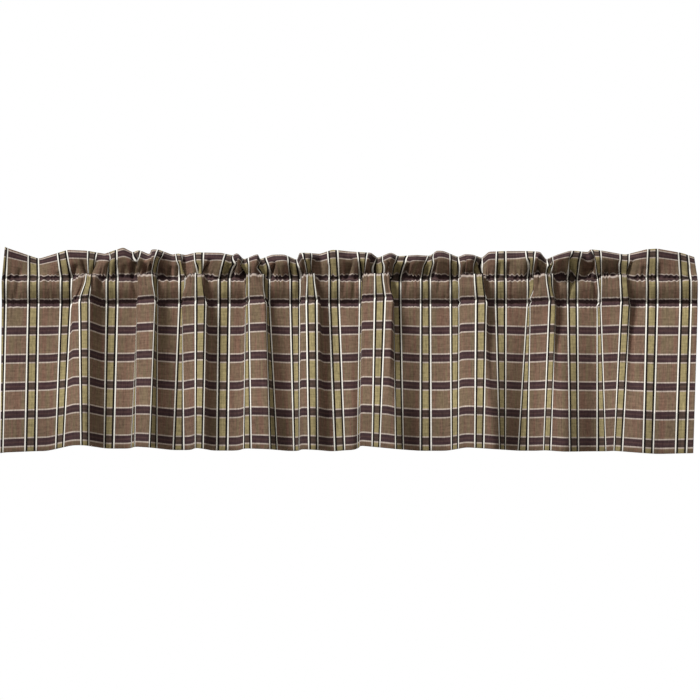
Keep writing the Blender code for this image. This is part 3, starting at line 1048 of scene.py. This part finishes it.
def mesh_of_stitches(name, points):
    """A mesh of all stitches, each a short closed bar of thread.

    In the bake map each stitch has a cell of its own. Its sides stand there ring over ring,
    with one end below them and the other above.
    """
    count, rings, sides = points.shape[:3]
    faces = []
    places = []
    width = STITCH_SIDE_CELL / sides
    height = STITCH_SIDE_CELL / (rings + 1)
    for ring in range(rings - 1):
        low = ring * sides
        high = low + sides
        for side in range(sides):
            after = (side + 1) % sides
            faces.append((low + side, low + after, high + after, high + side))
            places.append(map_patch(side / sides, (ring + 1) / (rings + 1), width, height))
    last = (rings - 1) * sides
    faces += [(3, 2, 1, 0), (last, last + 1, last + 2, last + 3)]
    width, height = STITCH_END_CELL[0], STITCH_END_CELL[1] / (rings + 1)
    places += [map_patch(0.0, bottom, width, height) for bottom in (0.0, rings / (rings + 1))]

    firsts = np.arange(count) * rings * sides
    corners = np.array(faces)[None] + firsts[:, None, None]
    data = bpy.data.meshes.new(name)
    data.from_pydata(points.reshape(-1, 3).tolist(), [], corners.reshape(-1, 4).tolist())
    data.shade_smooth()
    across = math.ceil(math.sqrt(count))
    cell = np.arange(count)
    origin = np.stack((cell % across, cell // across), axis=1)[:, None, None]
    spread = (origin + np.array(places)[None] * STITCH_CELL) / across
    spread = STITCH_MAP_MARGIN + (1.0 - 2 * STITCH_MAP_MARGIN) * spread
    bake = data.uv_layers.new(name="OFBake")
    bake.data.foreach_set("uv", spread.reshape(-1))
    return data


def add_stitches(cloth, grid, out, places):
    """Small even stitches along both stitch lines, seen on the front and on the back.

    The hem is caught down from the back only, so its stitches stand on the turned cloth.
    """
    back_upper = TOP_EDGE + RUFFLE_CLOTH + 2 * EDGE_TURN
    lines = (
        (SKIRT_CLOTH, 1.0),
        (UPPER_SEAM, 1.0),
        (back_upper, 1.0),
        (back_upper + BACK_POCKET_CLOTH, 1.0),
        (-HEM * (HEM_ROWS - 1) / HEM_ROWS, -1.0),
    )
    points = []
    for place, sign in lines:
        number = int(np.argmin(np.abs(places - place)))
        points.append(stitches_along(grid[number], out[number] * sign, cloth))
    data = mesh_of_stitches("stitches", np.concatenate(points))
    add_piece("stitches", data, sewing_thread())


# ---------------------------------------------------------------- the studio


def add_floor():
    """A wide floor far below the valance."""
    signs = [(-1, -1), (1, -1), (1, 1), (-1, 1)]
    corners = [(x * FLOOR_HALF, y * FLOOR_HALF, FLOOR_HEIGHT) for x, y in signs]
    data = bpy.data.meshes.new("studio_floor")
    data.from_pydata(corners, [], [(0, 1, 2, 3)])
    data.materials.append(floor_paint())
    floor = bpy.data.objects.new("studio_floor", data)
    bpy.context.scene.collection.objects.link(floor)


def add_light(name, aside, above, strength):
    """A distant soft light. aside is its turn to the right of the camera, above its height."""
    data = bpy.data.lights.new(name, "SUN")
    data.energy = strength
    data.angle = LIGHT_SOFTNESS
    light = bpy.data.objects.new(name, data)
    bpy.context.scene.collection.objects.link(light)
    light.rotation_euler = (math.pi / 2 - math.radians(above), 0.0, math.radians(aside))


def add_world():
    """White all round, seen brighter than it lights."""
    world = bpy.data.worlds.new("studio")
    bpy.context.scene.world = world
    world.use_nodes = True
    tree = world.node_tree
    tree.nodes.clear()
    seen = add_node(tree, "ShaderNodeBackground", {"Color": (1, 1, 1, 1), "Strength": 1.0})
    lighting = {"Color": WARM_LIGHT, "Strength": WORLD_LIGHT}
    lit = add_node(tree, "ShaderNodeBackground", lighting)
    rays = add_node(tree, "ShaderNodeLightPath")
    both = add_node(
        tree,
        "ShaderNodeMixShader",
        {0: rays.outputs["Is Camera Ray"], 1: lit.outputs[0], 2: seen.outputs[0]},
    )
    add_node(tree, "ShaderNodeOutputWorld", {0: both.outputs[0]})


def add_camera():
    """A long lens from slightly below, as the valance is seen."""
    data = bpy.data.cameras.new("camera")
    data.lens = CAMERA_LENS
    data.sensor_width = CAMERA_SENSOR
    camera = bpy.data.objects.new("camera", data)
    bpy.context.scene.collection.objects.link(camera)
    away = CAMERA_DISTANCE * math.cos(CAMERA_BELOW)
    below = CAMERA_DISTANCE * math.sin(CAMERA_BELOW)
    camera.location = (CAMERA_AIM[0], CAMERA_AIM[1] - away, CAMERA_AIM[2] - below)
    camera.rotation_euler = (math.pi / 2 + CAMERA_BELOW, 0.0, 0.0)
    bpy.context.scene.camera = camera


def add_studio():
    """Camera, floor and lights."""
    bpy.context.scene.view_settings.view_transform = "Standard"
    add_camera()
    add_floor()
    add_world()
    add_light("main light", -44.0, 48.0, 4.2)
    add_light("front light", 2.0, 25.0, 0.4)


laid_cloth = panel_grid()
add_panel(*laid_cloth)
add_stitches(*laid_cloth)
add_studio()
